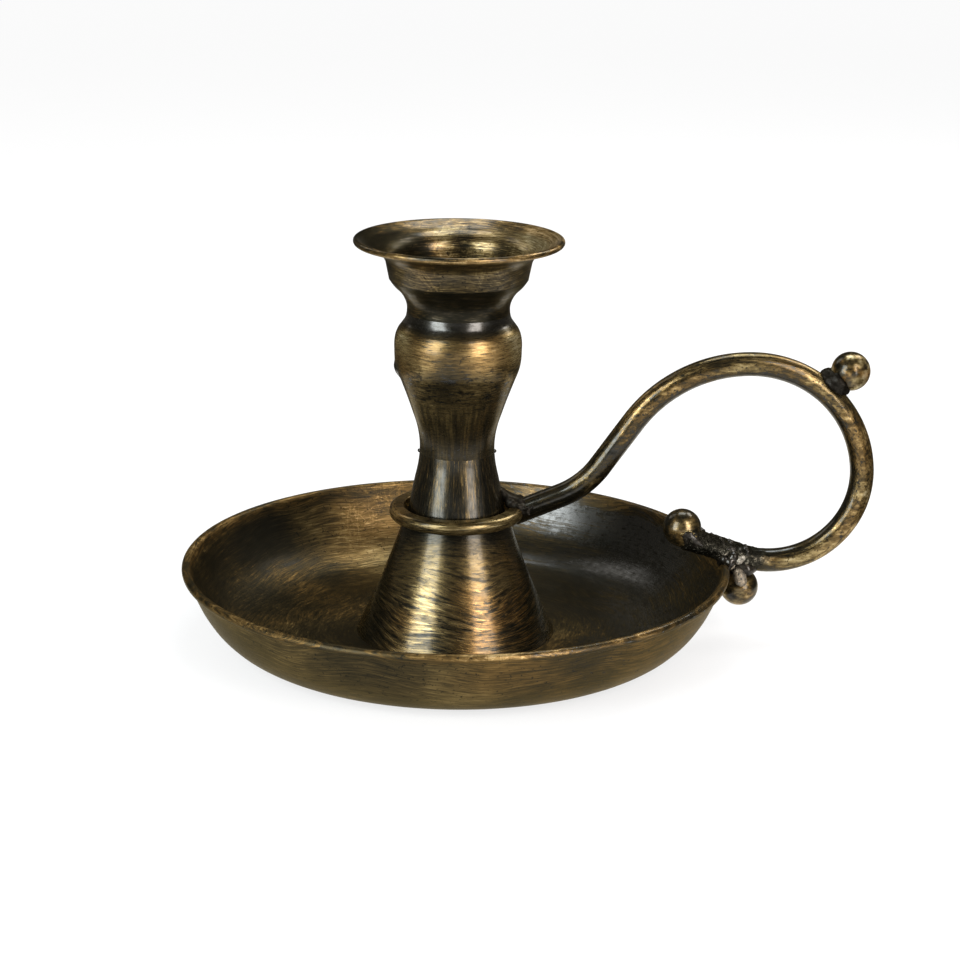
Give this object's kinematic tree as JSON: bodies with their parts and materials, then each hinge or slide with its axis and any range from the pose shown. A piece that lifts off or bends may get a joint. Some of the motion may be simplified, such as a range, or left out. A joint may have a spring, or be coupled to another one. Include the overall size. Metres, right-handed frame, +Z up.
{
  "type": "chamberstick",
  "caption": "Low metal chamberstick: round drip pan, conical foot, turned stem with flared candle cup, and a bent rod handle with a finger loop and ball ends.",
  "frame": {"origin": "on the stem's axis, in the plane that the pan stands on", "axes": "+Z up along the stem and out of the candle socket, +X from the stem towards the finger loop, +Y to the back as the picture shows it"},
  "size_m": [0.1573, 0.125, 0.0925],
  "materials": {
    "pan_brass": "dark aged patina, satin, rubbed bright at the rim",
    "stem_brass": "aged patina over polished metal, satin",
    "cup_brass": "dark aged patina, satin, rubbed bright at the lip",
    "rod_brass": "worn polish with dark streaks",
    "ball_brass": "polished",
    "weld_metal": "rough, dark",
    "steel": "plain, dull"
  },
  "bodies": {
    "root": {"drip_pan": "pan_brass", "stem_cone": "stem_brass", "collar_ring": "stem_brass", "lower_stem": "stem_brass", "bulb_stem": "stem_brass", "candle_cup": "cup_brass", "socket_liner": "cup_brass", "tie_screw": "steel", "base_washer": "steel", "spring_washer": "steel", "base_nut": "steel", "handle_rod": "rod_brass", "thumb_weld": "weld_metal", "rim_ball_weld": "weld_metal", "tip_weld": "weld_metal", "rim_weld": "weld_metal", "collar_weld": "weld_metal", "thumb_ball": "ball_brass", "rim_ball": "ball_brass", "tip_ball": "ball_brass", "seam_tacks": "weld_metal"}
  },
  "joints": []
}
